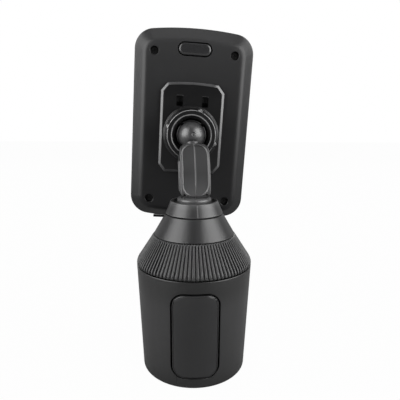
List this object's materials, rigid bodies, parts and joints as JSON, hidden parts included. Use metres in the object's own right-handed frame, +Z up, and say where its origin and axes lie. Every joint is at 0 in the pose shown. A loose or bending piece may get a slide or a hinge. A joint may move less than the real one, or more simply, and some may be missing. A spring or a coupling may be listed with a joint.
{
  "type": "car phone mount",
  "caption": "Cup-holder phone mount: expanding ribbed base, leaning swivel neck, ball joint with lock nut and a clamping phone cradle.",
  "frame": {"origin": "middle of the base's flat underside", "axes": "+Z up along the base's axis; the front leg faces -Y; the phone faces +Y"},
  "size_m": [0.0834, 0.0926, 0.2156],
  "materials": {
    "body_plastic": "satin black",
    "cradle_plastic": "fine-textured black",
    "neck_plastic": "semi-gloss black",
    "ball_plastic": "polished black",
    "button_plastic": "semi-gloss black",
    "inner_plastic": "moulded black",
    "soft_rubber": "soft-touch black",
    "screw_steel": "zinc plated",
    "dark_screw": "black oxide",
    "spring_steel": "drawn wire"
  },
  "bodies": {
    "base": {"cup_shell": "body_plastic", "bottom_cover": "body_plastic", "bottom_screws": "screw_steel", "guide_deck": "inner_plastic", "deck_screws": "screw_steel", "smooth_cone": "body_plastic", "swivel_post": "inner_plastic", "spindle_screw": "screw_steel"},
    "ring": {"ribbed_ring": "body_plastic", "cam_disc": "inner_plastic", "cam_screws": "screw_steel"},
    "leg_front": {"front_leg": "inner_plastic", "front_leg_pad": "soft_rubber"},
    "leg_right": {"right_leg": "inner_plastic", "right_leg_pad": "soft_rubber"},
    "leg_left": {"left_leg": "inner_plastic", "left_leg_pad": "soft_rubber"},
    "neck": {"neck_shell_left": "neck_plastic", "neck_shell_right": "neck_plastic", "neck_screws": "dark_screw"},
    "stud": {"ball_stud": "ball_plastic"},
    "seat": {"ball_seat": "soft_rubber"},
    "cradle": {"socket_plate": "cradle_plastic", "plate_screws": "screw_steel", "back_cover": "cradle_plastic", "cover_screws": "dark_screw", "front_shell": "cradle_plastic", "front_pad": "soft_rubber", "pinion_screw": "screw_steel", "pinion_spring": "spring_steel", "pawl_spring": "spring_steel", "button_springs": "spring_steel"},
    "nut": {"lock_nut": "cradle_plastic"},
    "button": {"release_button": "button_plastic"},
    "pawl": {"release_pawl": "inner_plastic"},
    "pinion": {"pinion_gear": "inner_plastic"},
    "arm_left": {"clamp_arm_left": "cradle_plastic", "arm_pad_left": "soft_rubber"},
    "arm_right": {"clamp_arm_right": "cradle_plastic", "arm_pad_right": "soft_rubber"},
    "foot": {"foot_bracket": "cradle_plastic", "foot_pads": "soft_rubber"}
  },
  "joints": [
    {"name": "ring_turn", "type": "hinge", "parent": "base", "child": "ring", "pos_m": [0, 0, 0.07], "axis": [0, 0, 1], "range_deg": [0, 100]},
    {"name": "leg_front_slide", "type": "slide", "parent": "base", "child": "leg_front", "axis": [0, -1, 0], "range_m": [0, 0.009]},
    {"name": "leg_right_slide", "type": "slide", "parent": "base", "child": "leg_right", "axis": [0.866, 0.5, 0], "range_m": [0, 0.009]},
    {"name": "leg_left_slide", "type": "slide", "parent": "base", "child": "leg_left", "axis": [-0.866, 0.5, 0], "range_m": [0, 0.009]},
    {"name": "neck_swivel", "type": "hinge", "parent": "base", "child": "neck", "pos_m": [0, 0, 0.102], "axis": [0, 0, 1], "continuous": true},
    {"name": "ball_twist", "type": "hinge", "parent": "neck", "child": "stud", "pos_m": [-0.00158, 0.01587, 0.14734], "axis": [-0.0598, 0.5988, 0.7986], "range_deg": [-20, 20]},
    {"name": "ball_tilt", "type": "hinge", "parent": "stud", "child": "seat", "pos_m": [-0.00158, 0.01587, 0.14734], "axis": [0.9997, 0.0262, 0], "range_deg": [-1.5, 60]},
    {"name": "ball_roll", "type": "hinge", "parent": "seat", "child": "cradle", "pos_m": [-0.00158, 0.01587, 0.14734], "axis": [-0.0262, 0.9993, 0.0262], "continuous": true},
    {"name": "nut_turn", "type": "hinge", "parent": "cradle", "child": "nut", "pos_m": [-0.00158, 0.01587, 0.14734], "axis": [0.0262, -0.9993, -0.0262], "range_deg": [-180, 30]},
    {"name": "button_press", "type": "slide", "parent": "cradle", "child": "button", "axis": [-0.0262, 0.9993, 0.0262], "range_m": [0, 0.002], "stiffness_N_per_m": 300, "springref_m": -0.001, "deforming": ["button_springs"]},
    {"name": "pawl_lift", "type": "slide", "parent": "cradle", "child": "pawl", "axis": [0.0547, -0.0247, 0.9982], "range_m": [0, 0.002], "deforming": ["pawl_spring"]},
    {"name": "arm_left_slide", "type": "slide", "parent": "cradle", "child": "arm_left", "axis": [-0.9982, -0.0276, 0.0541], "range_m": [0, 0.017]},
    {"name": "arm_right_slide", "type": "slide", "parent": "cradle", "child": "arm_right", "axis": [0.9982, 0.0276, -0.0541], "range_m": [0, 0.017]},
    {"name": "pinion_turn", "type": "hinge", "parent": "cradle", "child": "pinion", "pos_m": [-0.00166, 0.03961, 0.15805], "axis": [0.0262, -0.9993, -0.0262], "range_deg": [0, 163.3]},
    {"name": "foot_slide", "type": "slide", "parent": "cradle", "child": "foot", "axis": [-0.0547, 0.0247, -0.9982], "range_m": [0, 0.02]}
  ],
  "couplings": [
    {"joint": "leg_front_slide", "follows": "ring_turn", "m_per_rad": 0.0051566},
    {"joint": "leg_right_slide", "follows": "ring_turn", "m_per_rad": 0.0051566},
    {"joint": "leg_left_slide", "follows": "ring_turn", "m_per_rad": 0.0051566},
    {"joint": "pawl_lift", "follows": "button_press", "ratio": 1},
    {"joint": "arm_right_slide", "follows": "arm_left_slide", "ratio": 1},
    {"joint": "pinion_turn", "follows": "arm_left_slide", "rad_per_m": 166.67}
  ]
}
